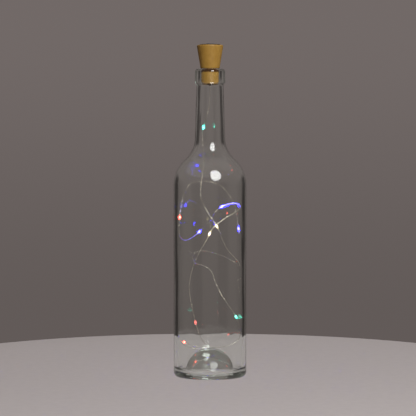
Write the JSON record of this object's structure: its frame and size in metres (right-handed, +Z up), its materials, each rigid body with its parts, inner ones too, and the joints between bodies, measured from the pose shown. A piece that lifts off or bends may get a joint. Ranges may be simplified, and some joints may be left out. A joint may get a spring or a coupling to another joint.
{
  "type": "cork bottle light",
  "caption": "Clear wine bottle closed by a lift-out cork-shaped battery stopper with a push switch, from which a fine wire with coloured LED drops loops inside the glass.",
  "frame": {"origin": "middle of the bottle's foot, on the surface that it stands on", "axes": "+Z up along the bottle's axis, -Y towards the viewer of the picture, +X to the viewer's right"},
  "size_m": [0.072, 0.072, 0.3287],
  "materials": {
    "clear_glass": "clear flint glass, smooth",
    "cork_tan": "satin moulded plastic in a cork tan",
    "black_plastic": "satin moulded plastic",
    "steel": "stamped spring steel",
    "cell_steel": "nickel plated can",
    "board_green": "solder mask on glass fibre board",
    "chip_ceramic": "fired ceramic with plated ends",
    "lead_red": "insulated lead",
    "lead_black": "insulated lead",
    "silver_wire": "enamelled twin wire, pale silver",
    "clear_resin": "clear epoxy drop",
    "led_teal": "lit chip",
    "led_green": "lit chip",
    "led_blue": "lit chip",
    "led_red": "lit chip",
    "led_white": "lit chip"
  },
  "bodies": {
    "bottle": {"bottle": "clear_glass"},
    "stopper": {"cork_plug": "cork_tan", "strain_relief": "black_plastic", "button_cell_1": "cell_steel", "button_cell_2": "cell_steel", "button_cell_3": "cell_steel", "negative_contact": "steel", "negative_strip": "steel", "positive_contact": "steel", "circuit_board": "board_green", "controller_chip": "black_plastic", "resistor": "chip_ceramic", "capacitor": "chip_ceramic", "switch_base": "black_plastic", "switch_cover": "steel", "lead_positive": "lead_red", "lead_negative": "lead_black", "string_wire": "silver_wire", "led_drop_01": "clear_resin", "led_drop_02": "clear_resin", "led_drop_03": "clear_resin", "led_drop_04": "clear_resin", "led_drop_05": "clear_resin", "led_drop_06": "clear_resin", "led_drop_07": "clear_resin", "led_drop_08": "clear_resin", "led_drop_09": "clear_resin", "led_drop_10": "clear_resin", "led_chip_01": "led_teal", "led_chip_02": "led_white", "led_chip_03": "led_green", "led_chip_04": "led_red", "led_chip_05": "led_red", "led_chip_06": "led_white", "led_chip_07": "led_blue", "led_chip_08": "led_blue", "led_chip_09": "led_red", "led_chip_10": "led_blue"},
    "head": {"cork_head": "cork_tan", "top_cap": "black_plastic"},
    "button": {"push_button": "black_plastic", "switch_plunger": "black_plastic"}
  },
  "joints": [
    {"name": "cork_pull", "type": "slide", "parent": "bottle", "child": "stopper", "axis": [0, 0, 1], "range_m": [0, 0.06], "deforming": ["string_wire", "led_drop_01", "led_drop_02", "led_drop_03", "led_drop_04", "led_drop_05", "led_drop_06", "led_drop_07", "led_drop_08", "led_drop_09", "led_drop_10", "led_chip_01", "led_chip_02", "led_chip_03", "led_chip_04", "led_chip_05", "led_chip_06", "led_chip_07", "led_chip_08", "led_chip_09", "led_chip_10"]},
    {"name": "head_lift", "type": "slide", "parent": "stopper", "child": "head", "axis": [0, 0, 1], "range_m": [0, 0.03]},
    {"name": "button_press", "type": "slide", "parent": "stopper", "child": "button", "axis": [0, 0, -1], "range_m": [0, 0.0008], "stiffness_N_per_m": 500}
  ]
}
